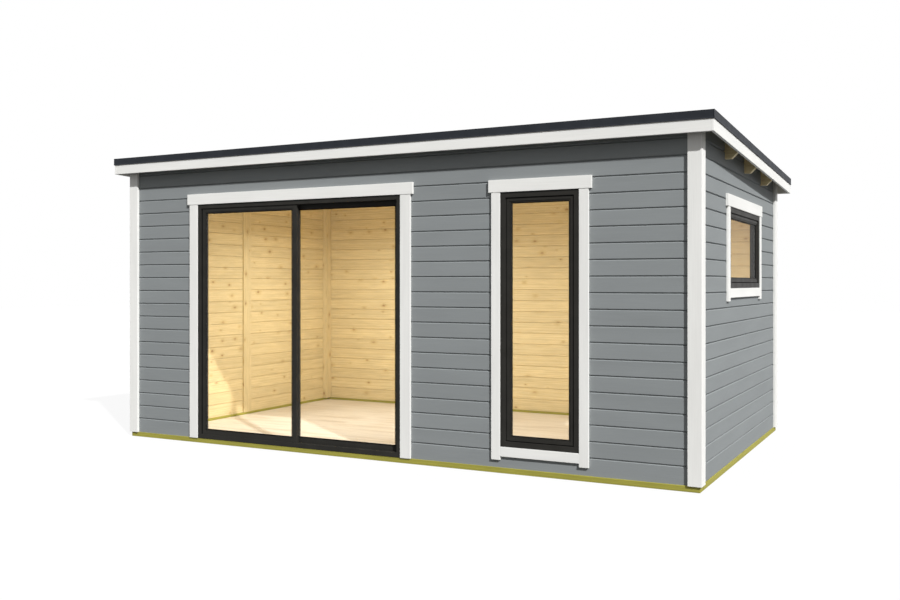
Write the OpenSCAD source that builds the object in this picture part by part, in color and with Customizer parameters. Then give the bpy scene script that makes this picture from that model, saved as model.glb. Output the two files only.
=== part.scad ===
// Garden office pod: a single-skin timber room with a mono-pitch roof, a two-leaf
// sliding glass door, a tall front window and a high side window.
// X runs along the front, +Y to the back, +Z up. The ground is Z = 0 and the origin
// is in the middle of the roof's outline.

/* [Building] */
// Length of the front wall, outside
width = 5050; // [4400:10:5800]
// Depth of the side walls, outside
depth = 3000; // [2700:10:3600]
// Thickness of the board walls
wall = 44; // [34:1:60]
// Height of the front wall's outer face above the ground
front_height = 2450; // [2350:5:2700]
// Fall of the roof from front to back, in degrees
roof_pitch = 2.3; // [1:0.1:4]

/* [Base and floor] */
// Height of the treated base beams
base_h = 40; // [35:1:70]
// Width of the base beams
base_w = 70; // [64:1:95]
// How far the base stands out from the wall
base_proud = 8; // [2:1:12]
// Thickness of the floor sheet
floor_t = 18; // [12:1:28]

/* [Door] */
// From the left end of the front wall to the door's visible frame
door_left = 770; // [500:5:1000]
// Visible width of the door frame
door_w = 2020; // [1700:5:2200]
// From the top of the front wall down to the door's visible frame
door_below = 405; // [300:5:480]
// Visible width of the door's jambs
jamb_w = 34; // [30:1:60]
// Visible height of the door's head and sill
head_h = 36; // [30:1:50]
// How far the door frame reaches behind its trims
door_lap = 20; // [18:1:30]
// Width of the leaves' stiles
stile_w = 48; // [42:1:70]
// Height of the leaves' rails
rail_h = 40; // [38:1:70]
// Thickness of a door leaf
leaf_t = 30; // [30:1:45]
// Overlap of the two leaves at the meeting stiles
leaf_overlap = 60; // [48:1:80]
// Space between the two leaves, and from a leaf to the faces of the frame
leaf_gap = 8; // [8:1:14]
// Depth of the grooves that hold the sliding leaf's edges
track_d = 15; // [13:1:20]
// Running clearance of the sliding leaf in its grooves
track_clear = 5; // [5:0.5:7]
// Width of the sill's rail
rail_w = 5; // [4:0.5:8]
// Radius of the sliding leaf's rollers
roller_r = 10; // [8:0.5:12]
// Gap between a roller and its rail
roller_gap = 0.3; // [0.2:0.1:0.5]
// Thickness of the glass units
glass_t = 20; // [16:1:24]

/* [Windows] */
// From the left end of the front wall to the front window's visible frame
front_window_left = 3627; // [3500:1:4000]
// Visible width of the front window
front_window_w = 600; // [450:5:750]
// Bottom of the front window's visible frame above the ground
front_window_sill = 192; // [180:1:300]
// From the top of the front wall down to the front window's visible frame
front_window_below = 425; // [300:1:600]
// From the front wall's face to the side window's visible frame
side_window_front = 916; // [800:1:1000]
// Visible width of the side window
side_window_w = 1220; // [900:5:1300]
// Height of the side window's visible frame
side_window_h = 604; // [450:1:700]
// From the level of the front wall's top down to the side window's visible frame
side_window_below = 514; // [450:1:700]
// Visible width of a window's outer frame
frame_w = 40; // [34:1:60]
// Depth of a window's outer frame, from the wall's face inwards
frame_d = 60; // [56:1:80]
// How far a window frame reaches behind its trims
frame_lap = 15; // [10:1:25]
// Width of a sash's members
sash_w = 37; // [32:1:60]
// Thickness of a sash
sash_t = 40; // [34:1:42]
// How far a sash lies behind the face of its frame
sash_recess = 8; // [4:1:16]
// Width of the glazing bead round each pane
bead_w = 10; // [6:1:14]
// Step from the face of a leaf or sash down to its bead
bead_step = 4; // [2:0.5:6]

/* [Trims] */
// How far the door and window frames stand out from the wall, between their trims
frame_proud = 12; // [0:1:14]
// Thickness of the trims beside the openings
trim_t = 18; // [14:1:24]
// Thickness of the trims over the openings
lintel_t = 21; // [16:1:28]
// Height of the trims over the openings
lintel_h = 90; // [70:1:110]
// How far these trims reach past the side trims
lintel_over = 22; // [10:1:30]
// Width of the door's side trims
door_trim_w = 90; // [70:1:110]
// Width of the windows' side and sill trims
window_trim_w = 70; // [60:1:90]
// How far the windows' side trims run below the sill trim
trim_tail = 26; // [10:1:35]
// Thickness of the corner boards
corner_t = 22; // [18:1:28]
// Width of the corner boards on the front and back
corner_w = 94; // [80:1:110]
// Width of the corner boards on the sides
corner_side_w = 86; // [70:1:110]

/* [Inside] */
// Thickness of the corner posts, out from the side walls
post_t = 50; // [40:1:70]
// Width of the corner posts along the side walls
post_w = 95; // [80:1:120]
// Width of the upright board over the left wall's joint
cover_w = 116; // [90:1:140]
// Thickness of this board
cover_t = 18; // [14:1:24]

/* [Roof] */
// Overhang at the front, to the edge strip's outer face
over_front = 112; // [90:1:200]
// Overhang at the back
over_back = 165; // [120:1:250]
// Overhang at each side
over_side = 124; // [100:1:200]
// Thickness of the roof boards
deck_t = 19; // [16:1:28]
// Thickness of the roof covering
cover_sheet_t = 4; // [3:0.5:6]
// Height of the fascia boards
fascia_h = 130; // [110:1:170]
// Thickness of the fascia boards
fascia_t = 20; // [16:1:28]
// Height of the dark edge strips
strip_h = 57; // [45:1:75]
// How far an edge strip stands out from the fascia
strip_proud = 6; // [4:0.5:10]
// Width of an edge strip's upper flange
strip_flange = 46; // [36:1:70]
// Thickness of the upper flange
strip_t = 3.5; // [2:0.5:5]
// Width of a purlin
purlin_w = 45; // [38:1:70]
// Height of a purlin
purlin_h = 145; // [120:1:170]
// Number of purlins
purlin_count = 3; // [2:1:5]
// From the front wall's face to the middle of the first purlin
purlin_front = 817; // [600:1:850]
// From the back wall's face to the middle of the last purlin
purlin_back = 709; // [600:1:850]
// Size of the chamfer under each purlin's end
purlin_chamfer = 50; // [30:1:70]

/* [Hidden] */
$fn = 48;
wall_paint = "#8b9092";
white_paint = "#efefec";
treated_wood = "#9c963f";
bare_wood = "#e3bd7d";
sheet_wood = "#ead6b8";
dark_metal = "#2b2c2e";
roof_dark = "#3d3f42";
pane = [0.75, 0.85, 0.85, 0.35];

// Length that a cut runs past the face it opens
past = 20;
// Hair's breadth between sloping faces that lie on each other
slope_gap = 0.05;
right = width / 2;
left = -right;
// The origin lies midway between the front and back edges of the roof
front_face = (over_front - depth - over_back) / 2;

// Height of the underside of the roof boards at a distance y behind the front wall's face
function roof_under(y) = front_height - y * tan(roof_pitch);

// Door lines: visible frame, frame's outer edge and the clear space between the jambs
door_top = front_height - door_below;
door_x0 = left + door_left;
door_x1 = door_x0 + door_w;
door_hole = [door_x0 - door_lap, door_x1 + door_lap, door_top + door_lap];
clear_x0 = door_x0 + jamb_w;
clear_x1 = door_x1 - jamb_w;
clear_z0 = base_h + head_h;
clear_z1 = door_top - head_h;
// Depths of the two leaves, the fixed one outside and the sliding one inside
fixed_y = leaf_gap - frame_proud;
sliding_y = fixed_y + leaf_t + leaf_gap;
door_d = sliding_y + leaf_t + leaf_gap;
leaf_w = (clear_x1 - clear_x0 + leaf_overlap) / 2;
leaf_h = clear_z1 - clear_z0;
// The sliding leaf reaches into the grooves of the right jamb, the head and the sill
reach = track_d - track_clear;
sliding_x0 = clear_x1 - leaf_w;
sliding_w = leaf_w + reach;
sliding_z0 = clear_z0 - reach;
sliding_h = leaf_h + 2 * reach;
// The groove runs a clearance wider than the leaf on both faces
groove_y0 = sliding_y - track_clear;
groove_t = leaf_t + 2 * track_clear;
rail_y = sliding_y + leaf_t / 2;
rail_top = clear_z0 - track_clear / 2;
roller_z = rail_top + roller_gap + roller_r;
roller_slot = rail_w + 2 * track_clear;

// Window lines: the visible frames' heights, and the holes in the walls as [low, high, bottom, top]
front_window_h = front_height - front_window_below - front_window_sill;
side_window_sill = front_height - side_window_below - side_window_h;
front_hole = [
    left + front_window_left - frame_lap,
    left + front_window_left + front_window_w + frame_lap,
    front_window_sill - frame_lap,
    front_window_sill + front_window_h + frame_lap
];
side_hole = [
    side_window_front - frame_lap,
    side_window_front + side_window_w + frame_lap,
    side_window_sill - frame_lap,
    side_window_sill + side_window_h + frame_lap
];

// Roof lines: fascia and strip planes
deck_x = right + over_side - strip_proud - fascia_t;
deck_y0 = -(over_front - strip_proud - fascia_t);
deck_y1 = depth + over_back - strip_proud - fascia_t;
edge_x = deck_x + fascia_t;
edge_y0 = deck_y0 - fascia_t;
edge_y1 = deck_y1 + fascia_t;
purlin_step = (depth - purlin_back - purlin_front) / (purlin_count - 1);

// Place shapes that are drawn with Y = 0 at the front wall's face
module placed(paint) {
    color(paint)
        translate([0, front_face, 0])
            children();
}

// Block between two corners
module block(low, high) {
    translate(low)
        cube(high - low);
}

// Prism along X of an outline in Y and Z
module along_x(x0, x1, outline) {
    translate([x0, 0, 0])
        rotate([90, 0, 90])
            linear_extrude(x1 - x0)
                polygon(outline);
}

// Upright slab with its top cut to the roof's slope
module under_roof(x0, x1, y0, y1, z0) {
    along_x(x0, x1, [[y0, z0], [y1, z0], [y1, roof_under(y1)], [y0, roof_under(y0)]]);
}

// Sloping sheet between two heights above the underside of the roof boards
module roof_sheet(x0, x1, y0, y1, low, high) {
    along_x(x0, x1, [
        [y0, roof_under(y0) + low], [y1, roof_under(y1) + low],
        [y1, roof_under(y1) + high], [y0, roof_under(y0) + high]
    ]);
}

// Copy children to both ends of the building
module both_ends() {
    children();
    mirror([1, 0, 0])
        children();
}

// Rectangular ring in the X-Z plane, with members of two widths
module ring(x0, z0, w, h, side, cross, y0, y1) {
    difference() {
        block([x0, y0, z0], [x0 + w, y1, z0 + h]);
        block([x0 + side, y0 - past, z0 + cross], [x0 + w - side, y1 + past, z0 + h - cross]);
    }
}

// Frame of a leaf or sash with a thinner glazing bead round its pane
module glazed_ring(x0, z0, w, h, side, cross, y0, thick) {
    ring(x0, z0, w, h, side - bead_w, cross - bead_w, y0, y0 + thick);
    ring(x0, z0, w, h, side, cross, y0 + bead_step, y0 + thick - bead_step);
}

// Glass unit that fills a glazed ring, in the middle of its thickness
module ring_glass(x0, z0, w, h, side, cross, y0, thick) {
    glass_y = y0 + (thick - glass_t) / 2;
    block([x0 + side, glass_y, z0 + cross], [x0 + w - side, glass_y + glass_t, z0 + h - cross]);
}

// Turn shapes drawn for the front wall onto the right wall, X becoming Y
module on_right_wall() {
    translate([right, 0, 0])
        rotate([0, 0, 90])
            children();
}

// Base and floor
module base_beams_front_back() {
    placed(treated_wood)
        for (y = [-base_proud, depth + base_proud - base_w])
            block([left - base_proud, y, 0], [right + base_proud, y + base_w, base_h]);
}

module base_beams_sides() {
    placed(treated_wood)
        both_ends()
            block([right + base_proud - base_w, base_w - base_proud, 0],
                  [right + base_proud, depth + base_proud - base_w, base_h]);
}

module floor() {
    edge = base_w - base_proud;
    placed(sheet_wood)
        block([left + edge, edge, 0], [right - edge, depth - edge, floor_t]);
}

// Walls: the front and back run the full length, with the side walls between them
module front_wall(x0, x1, z0) {
    placed(wall_paint)
        under_roof(x0, x1, 0, wall, z0);
}

module front_wall_left() {
    front_wall(left, door_hole[0], base_h);
}

module front_wall_over_door() {
    front_wall(door_hole[0], door_hole[1], door_hole[2]);
}

module front_wall_middle() {
    front_wall(door_hole[1], front_hole[0], base_h);
}

module front_wall_under_window() {
    placed(wall_paint)
        block([front_hole[0], 0, base_h], [front_hole[1], wall, front_hole[2]]);
}

module front_wall_over_window() {
    front_wall(front_hole[0], front_hole[1], front_hole[3]);
}

module front_wall_right() {
    front_wall(front_hole[1], right, base_h);
}

module back_wall() {
    placed(wall_paint)
        under_roof(left, right, depth - wall, depth, base_h);
}

// Side wall with slots at its top for the purlins that pass through it
module side_wall(x0, y0, y1, z0) {
    placed(wall_paint)
        difference() {
            under_roof(x0, x0 + wall, y0, y1, z0);
            purlin_blocks(past);
        }
}

module left_wall() {
    side_wall(left, wall, depth - wall, base_h);
}

module right_wall_front() {
    side_wall(right - wall, wall, side_hole[0], base_h);
}

module right_wall_under_window() {
    placed(wall_paint)
        block([right - wall, side_hole[0], base_h], [right, side_hole[1], side_hole[2]]);
}

module right_wall_over_window() {
    side_wall(right - wall, side_hole[0], side_hole[1], side_hole[3]);
}

module right_wall_back() {
    side_wall(right - wall, side_hole[1], depth - wall, base_h);
}

// Posts that stand on the base in the four inner corners
module corner_posts() {
    inner = right - wall;
    placed(bare_wood)
        both_ends()
            for (y = [wall, depth - wall - post_w])
                under_roof(inner - post_t, inner, y, y + post_w, base_h);
}

// Upright board over the joint of the left wall's two panels, up to the middle purlin
module left_wall_cover_board() {
    inner = left + wall;
    middle = depth / 2;
    top = roof_under(middle + cover_w) - purlin_h;
    placed(bare_wood)
        block([inner, middle - cover_w / 2, base_h], [inner + cover_t, middle + cover_w / 2, top]);
}

// Corner boards: those on the front and back cover the edges of those on the sides
module corner_boards_front_back() {
    placed(white_paint)
        both_ends()
            for (y = [-corner_t, depth])
                under_roof(right + corner_t - corner_w, right + corner_t, y, y + corner_t, base_h);
}

module corner_boards_sides() {
    placed(white_paint)
        both_ends()
            for (y = [0, depth - corner_side_w])
                under_roof(right, right + corner_t, y, y + corner_side_w, base_h);
}

// Sliding door: a two-lane frame, a fixed leaf outside and a sliding leaf inside
module sliding_lane(low, high) {
    block([low[0], groove_y0, low[1]], [high[0], groove_y0 + groove_t, high[1]]);
}

// Each jamb and the head have a rebate that the trims cover
module door_jambs() {
    placed(dark_metal) {
        block([door_hole[0], 0, base_h], [clear_x0, door_d, door_hole[2]]);
        block([door_x0, -frame_proud, base_h], [clear_x0, door_d, door_top]);
        difference() {
            union() {
                block([clear_x1, 0, base_h], [door_hole[1], door_d, door_hole[2]]);
                block([clear_x1, -frame_proud, base_h], [door_x1, door_d, door_top]);
            }
            sliding_lane([clear_x1 - past, clear_z0 - track_d], [clear_x1 + track_d, clear_z1 + track_d]);
        }
    }
}

module door_head() {
    placed(dark_metal)
        difference() {
            union() {
                block([clear_x0, 0, clear_z1], [clear_x1, door_d, door_hole[2]]);
                block([clear_x0, -frame_proud, clear_z1], [clear_x1, door_d, door_top]);
            }
            sliding_lane([clear_x0 - past, clear_z1 - past], [clear_x1 + past, clear_z1 + track_d]);
        }
}

// The sill's lane has a raised rail that the rollers run on
module door_sill() {
    placed(dark_metal) {
        difference() {
            block([clear_x0, -frame_proud, base_h], [clear_x1, door_d, clear_z0]);
            sliding_lane([clear_x0 - past, clear_z0 - track_d], [clear_x1 + past, clear_z0 + past]);
        }
        block([clear_x0, rail_y - rail_w / 2, clear_z0 - track_d],
              [clear_x1, rail_y + rail_w / 2, rail_top]);
    }
}

module fixed_leaf_frame() {
    placed(dark_metal)
        glazed_ring(clear_x0, clear_z0, leaf_w, leaf_h, stile_w, rail_h, fixed_y, leaf_t);
}

module fixed_leaf_glass() {
    placed(pane)
        ring_glass(clear_x0, clear_z0, leaf_w, leaf_h, stile_w, rail_h, fixed_y, leaf_t);
}

// Middle of each roller along the sliding leaf
function roller_x() = [sliding_x0 + 3 * stile_w, sliding_x0 + sliding_w - 3 * stile_w];

module sliding_leaf_frame() {
    slot_top = roller_z + roller_r + track_clear;
    placed(dark_metal)
        difference() {
            glazed_ring(sliding_x0, sliding_z0, sliding_w, sliding_h,
                        stile_w, rail_h + reach, sliding_y, leaf_t);
            block([sliding_x0 - past, rail_y - roller_slot / 2, sliding_z0 - past],
                  [sliding_x0 + sliding_w + past, rail_y + roller_slot / 2, rail_top + track_clear]);
            for (x = roller_x())
                block([x - roller_r - track_clear, rail_y - roller_slot / 2, sliding_z0 - past],
                      [x + roller_r + track_clear, rail_y + roller_slot / 2, slot_top]);
        }
}

module sliding_leaf_glass() {
    placed(pane)
        ring_glass(sliding_x0, sliding_z0, sliding_w, sliding_h,
                   stile_w, rail_h + reach, sliding_y, leaf_t);
}

// Rollers on short axles across the slot in the leaf's bottom rail
module sliding_leaf_rollers() {
    placed(dark_metal)
        for (x = roller_x())
            translate([x, rail_y, roller_z])
                rotate([90, 0, 0]) {
                    cylinder(h = rail_w + track_clear, r = roller_r, center = true);
                    cylinder(h = roller_slot, r = roller_r / 3, center = true);
                }
}

module door_side_trims() {
    placed(white_paint)
        for (x = [door_x0 - door_trim_w, door_x1])
            block([x, -trim_t, base_h], [x + door_trim_w, 0, door_top]);
}

module door_lintel_trim() {
    out = door_trim_w + lintel_over;
    placed(white_paint)
        block([door_x0 - out, -lintel_t, door_top], [door_x1 + out, 0, door_top + lintel_h]);
}

// Windows, drawn with their visible frame from x, z and the wall's face at Y = 0
module window_frame(x, z, w, h) {
    edge = frame_lap + frame_w;
    ring(x - frame_lap, z - frame_lap, w + 2 * frame_lap, h + 2 * frame_lap, edge, edge, 0, frame_d);
    ring(x, z, w, h, frame_w, frame_w, -frame_proud, frame_d);
}

module window_sash(x, z, w, h) {
    glazed_ring(x + frame_w, z + frame_w, w - 2 * frame_w, h - 2 * frame_w,
                sash_w, sash_w, sash_recess - frame_proud, sash_t);
}

module window_glass(x, z, w, h) {
    ring_glass(x + frame_w, z + frame_w, w - 2 * frame_w, h - 2 * frame_w,
               sash_w, sash_w, sash_recess - frame_proud, sash_t);
}

module window_side_trims(x, z, w, h) {
    for (x0 = [x - window_trim_w, x + w])
        block([x0, -trim_t, z - window_trim_w - trim_tail], [x0 + window_trim_w, 0, z + h]);
}

// The trim over a window reaches past the side trims, and the sill trim fits between them
module window_cross_trims(x, z, w, h) {
    out = window_trim_w + lintel_over;
    block([x - out, -lintel_t, z + h], [x + w + out, 0, z + h + lintel_h]);
    block([x, -trim_t, z - window_trim_w], [x + w, 0, z]);
}

front_window_x = left + front_window_left;

module front_window_frame() {
    placed(dark_metal)
        window_frame(front_window_x, front_window_sill, front_window_w, front_window_h);
}

module front_window_sash() {
    placed(dark_metal)
        window_sash(front_window_x, front_window_sill, front_window_w, front_window_h);
}

module front_window_glass() {
    placed(pane)
        window_glass(front_window_x, front_window_sill, front_window_w, front_window_h);
}

module front_window_side_trims() {
    placed(white_paint)
        window_side_trims(front_window_x, front_window_sill, front_window_w, front_window_h);
}

module front_window_cross_trims() {
    placed(white_paint)
        window_cross_trims(front_window_x, front_window_sill, front_window_w, front_window_h);
}

module side_window_frame() {
    placed(dark_metal)
        on_right_wall()
            window_frame(side_window_front, side_window_sill, side_window_w, side_window_h);
}

module side_window_sash() {
    placed(dark_metal)
        on_right_wall()
            window_sash(side_window_front, side_window_sill, side_window_w, side_window_h);
}

module side_window_glass() {
    placed(pane)
        on_right_wall()
            window_glass(side_window_front, side_window_sill, side_window_w, side_window_h);
}

module side_window_side_trims() {
    placed(white_paint)
        on_right_wall()
            window_side_trims(side_window_front, side_window_sill, side_window_w, side_window_h);
}

module side_window_cross_trims() {
    placed(white_paint)
        on_right_wall()
            window_cross_trims(side_window_front, side_window_sill, side_window_w, side_window_h);
}

// Purlins as square-ended blocks that reach a distance above the underside of the roof boards
module purlin_blocks(above) {
    for (i = [0 : purlin_count - 1]) {
        y0 = purlin_front + i * purlin_step - purlin_w / 2;
        y1 = y0 + purlin_w;
        low = roof_under(y0) - purlin_h;
        along_x(-deck_x, deck_x, [
            [y0, low], [y1, low], [y1, roof_under(y1) + above], [y0, roof_under(y0) + above]
        ]);
    }
}

// The purlins run from fascia to fascia and have their lower ends chamfered
module purlins() {
    cut = purlin_chamfer * sqrt(2);
    placed(bare_wood)
        difference() {
            purlin_blocks(0);
            both_ends()
                for (i = [0 : purlin_count - 1]) {
                    y0 = purlin_front + i * purlin_step - purlin_w / 2;
                    translate([deck_x, y0 - past, roof_under(y0) - purlin_h])
                        rotate([0, 45, 0])
                            translate([-cut / 2, 0, -cut / 2])
                                cube([cut, purlin_w + 2 * past, cut]);
                }
        }
}

module roof_boards() {
    placed(bare_wood)
        roof_sheet(-deck_x, deck_x, deck_y0, deck_y1, slope_gap, deck_t);
}

module roof_covering() {
    placed(roof_dark)
        roof_sheet(-edge_x, edge_x, edge_y0, edge_y1, deck_t + slope_gap, deck_t + cover_sheet_t);
}

// The side fascias cover the ends of the front and back ones
module eaves_fascias() {
    placed(white_paint)
        for (y = [edge_y0, deck_y1])
            roof_sheet(-deck_x, deck_x, y, y + fascia_t, deck_t - fascia_h, deck_t);
}

module side_fascias() {
    placed(white_paint)
        both_ends()
            roof_sheet(deck_x, edge_x, edge_y0, edge_y1, deck_t - fascia_h, deck_t);
}

// Edge strips: an upright leg over the fascia's top and a flange on the covering
strip_seat = deck_t + cover_sheet_t + slope_gap;
strip_low = strip_seat + strip_t - strip_h;

// Eaves strip outside a fascia whose face is at y, with out = -1 at the front and 1 at the back
module eaves_strip(y, out) {
    outer = y + out * strip_proud;
    inner = y - out * strip_flange;
    along_x(-edge_x, edge_x, [
        [outer, roof_under(outer) + strip_low], [y, roof_under(y) + strip_low],
        [y, roof_under(y) + strip_seat], [inner, roof_under(inner) + strip_seat],
        [inner, roof_under(inner) + strip_seat + strip_t], [outer, roof_under(outer) + strip_seat + strip_t]
    ]);
}

module eaves_edge_strips() {
    placed(roof_dark) {
        eaves_strip(edge_y0, -1);
        eaves_strip(edge_y1, 1);
    }
}

module side_edge_strips() {
    placed(roof_dark)
        both_ends() {
            roof_sheet(edge_x, edge_x + strip_proud, edge_y0 - strip_proud, edge_y1 + strip_proud,
                       strip_low, strip_seat + strip_t);
            roof_sheet(edge_x - strip_flange, edge_x, edge_y0 + strip_flange, edge_y1 - strip_flange,
                       strip_seat, strip_seat + strip_t);
        }
}

base_beams_front_back();
base_beams_sides();
floor();
front_wall_left();
front_wall_over_door();
front_wall_middle();
front_wall_under_window();
front_wall_over_window();
front_wall_right();
left_wall();
back_wall();
right_wall_front();
right_wall_under_window();
right_wall_over_window();
right_wall_back();
corner_posts();
left_wall_cover_board();
corner_boards_front_back();
corner_boards_sides();
door_jambs();
door_head();
door_sill();
fixed_leaf_frame();
fixed_leaf_glass();
sliding_leaf_frame();
sliding_leaf_glass();
sliding_leaf_rollers();
door_side_trims();
door_lintel_trim();
front_window_frame();
front_window_sash();
front_window_glass();
front_window_side_trims();
front_window_cross_trims();
side_window_frame();
side_window_sash();
side_window_glass();
side_window_side_trims();
side_window_cross_trims();
purlins();
roof_boards();
roof_covering();
eaves_fascias();
side_fascias();
eaves_edge_strips();
side_edge_strips();
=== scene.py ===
import itertools
import math

import bmesh
import bpy
from mathutils import Matrix, Vector


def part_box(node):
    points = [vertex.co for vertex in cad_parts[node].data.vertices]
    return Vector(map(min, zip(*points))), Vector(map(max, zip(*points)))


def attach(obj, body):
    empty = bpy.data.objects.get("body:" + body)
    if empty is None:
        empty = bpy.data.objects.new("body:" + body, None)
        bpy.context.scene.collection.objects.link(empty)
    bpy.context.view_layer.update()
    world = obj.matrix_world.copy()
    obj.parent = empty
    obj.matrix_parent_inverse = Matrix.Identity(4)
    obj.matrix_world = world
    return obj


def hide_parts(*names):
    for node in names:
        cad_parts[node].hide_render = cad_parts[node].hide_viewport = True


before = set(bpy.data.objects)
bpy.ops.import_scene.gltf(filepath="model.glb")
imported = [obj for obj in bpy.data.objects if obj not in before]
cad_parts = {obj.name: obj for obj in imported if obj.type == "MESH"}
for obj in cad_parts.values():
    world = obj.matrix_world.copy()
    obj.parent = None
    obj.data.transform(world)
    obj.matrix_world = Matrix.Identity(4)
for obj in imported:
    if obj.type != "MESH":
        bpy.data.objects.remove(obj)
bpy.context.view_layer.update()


# Base beams. Pressure-treated spruce laid flat on the ground, olive green from the treatment.
# The front and back beams run the full length, and the side beams are butted between them.
BEAM_WIDTH = 0.070
BEAM_EASE = 0.003
# From one board to the next the grain moves on by a length, and the tone by a share of its range
GRAIN_STEP = 7.3
TONE_STEP = 0.618034
# Knots: cells in a metre along and across a board, and the least and greatest radius in a cell
KNOT_CELLS = (4.4, 7.0, 0.0)
KNOT_RADII = (0.028, 0.095)
NO_KNOT = 0.0001
# Growth lines: how many in a metre, their slant through the board, and how far they sway
GROWTH_LINES = 130.0
LINE_SLANT = 0.6
LINE_SWAY = 0.030
KNOT_SWAY = 0.005
# Range in which a noise mostly stays
NOISE_SWING = (0.3, 0.7)
X, Y, Z = range(3)
board_numbers = itertools.count(1)


def start_mesh(mesh=None):
    """Mesh under construction, with room for each board's grain and tone."""
    bm = bmesh.new()
    if mesh:
        bm.from_mesh(mesh)
    bm.loops.layers.float_vector.new("grain")
    bm.faces.layers.float.new("tone")
    return bm


def lay_grain(bm, faces, along, number):
    """Runs the grain of a board along an axis, moved on by its number so that no two look alike."""
    grain = bm.loops.layers.float_vector["grain"]
    tone = bm.faces.layers.float["tone"]
    sides = [axis for axis in (X, Y, Z) if axis != along]
    for face in faces:
        face.normal_update()
        across, through = sorted(sides, key=lambda axis: abs(face.normal[axis]))
        face[tone] = number * TONE_STEP % 1
        for loop in face.loops:
            spot = loop.vert.co
            loop[grain] = (spot[along] + GRAIN_STEP * number, spot[across], spot[through])


def block(bm, low, high, foot=None, top=None):
    """Block between two corners. Heights over y, foot and top, give its lower and upper face a slope."""
    corners = bmesh.ops.create_cube(bm, size=1)["verts"]
    for corner in corners:
        slope = top if corner.co.z > 0 else foot
        corner.co = [low[axis] if corner.co[axis] < 0 else high[axis] for axis in (X, Y, Z)]
        if slope:
            corner.co.z = slope(corner.co.y)
    return corners


def board(bm, low, high, along, ease, top=None):
    """Board between two corners, with eased edges and its grain along an axis."""
    before = set(bm.faces)
    corners = block(bm, low, high, top=top)
    edges = dict.fromkeys(edge for corner in corners for edge in corner.link_edges)
    bmesh.ops.bevel(bm, geom=list(edges), offset=ease, segments=2, profile=0.6, affect="EDGES")
    lay_grain(bm, [face for face in bm.faces if face not in before], along, next(board_numbers))


def make_object(name, bm):
    """Object of a finished mesh, in the scene."""
    bmesh.ops.recalc_face_normals(bm, faces=bm.faces)
    mesh = bpy.data.meshes.new(name)
    bm.to_mesh(mesh)
    bm.free()
    made = bpy.data.objects.new(name, mesh)
    bpy.context.scene.collection.objects.link(made)
    return made


def set_in_place(name, bm, finishes, nodes, body="building"):
    """Makes a piece of a mesh, with its finishes. It rides on a body and stands for CAD nodes."""
    piece = make_object(name, bm)
    for finish in finishes:
        piece.data.materials.append(finish)
    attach(piece, body)
    if nodes:
        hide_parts(*nodes)


def start_finish(name):
    """New material with its node tree and its shader."""
    material = bpy.data.materials.new(name)
    material.use_nodes = True
    return material, material.node_tree, material.node_tree.nodes["Principled BSDF"]


def add_node(tree, kind, values, **settings):
    """Shader node whose sockets take plain values or the outputs of other nodes."""
    node = tree.nodes.new("ShaderNode" + kind)
    for key, setting in settings.items():
        setattr(node, key, setting)
    for socket, value in values.items():
        if isinstance(value, bpy.types.NodeSocket):
            tree.links.new(value, node.inputs[socket])
        else:
            node.inputs[socket].default_value = value
    return node


def calculate(tree, operation, first, second):
    """Sum, product or other result of two values."""
    return add_node(tree, "Math", {0: first, 1: second}, operation=operation).outputs[0]


def fit_range(tree, value, low, high, new_low, new_high, curve="LINEAR"):
    """Value carried from one range to another and held at its ends."""
    limits = {"From Min": low, "From Max": high, "To Min": new_low, "To Max": new_high}
    node = add_node(tree, "MapRange", {"Value": value, **limits}, interpolation_type=curve)
    return node.outputs["Result"]


def vary(tree, noise, least, most):
    """Value that swings between two others as a noise does."""
    return fit_range(tree, noise, *NOISE_SWING, least, most)


def mix_colours(tree, share, first, second):
    """Colour between two others."""
    values = {0: share, 6: first, 7: second}
    return add_node(tree, "Mix", values, data_type="RGBA").outputs[2]


def scale_colour(tree, colour, factor):
    """Colour made lighter or darker by a factor."""
    return add_node(tree, "VectorMath", {0: colour, "Scale": factor}, operation="SCALE").outputs[0]


def grain_noise(tree, stretch, detail):
    """Noise in the grain's own directions, with that many features in a metre of each."""
    grain = add_node(tree, "Attribute", {}, attribute_name="grain").outputs["Vector"]
    vector = add_node(tree, "VectorMath", {0: grain, 1: stretch}, operation="MULTIPLY").outputs[0]
    return add_node(tree, "TexNoise", {"Vector": vector, "Scale": 1.0, "Detail": detail}).outputs["Fac"]


def board_tone(tree, darkest, lightest):
    """Factor that makes each board a little lighter or darker than its neighbours."""
    tone = add_node(tree, "Attribute", {}, attribute_name="tone").outputs["Fac"]
    return fit_range(tree, tone, 0.0, 1.0, darkest, lightest)


def roughen(tree, shader, height, depth):
    """Bump of that depth in metres on the shader's surface."""
    bump = add_node(tree, "Bump", {"Height": height, "Strength": 0.6, "Distance": depth})
    tree.links.new(bump.outputs["Normal"], shader.inputs["Normal"])


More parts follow.
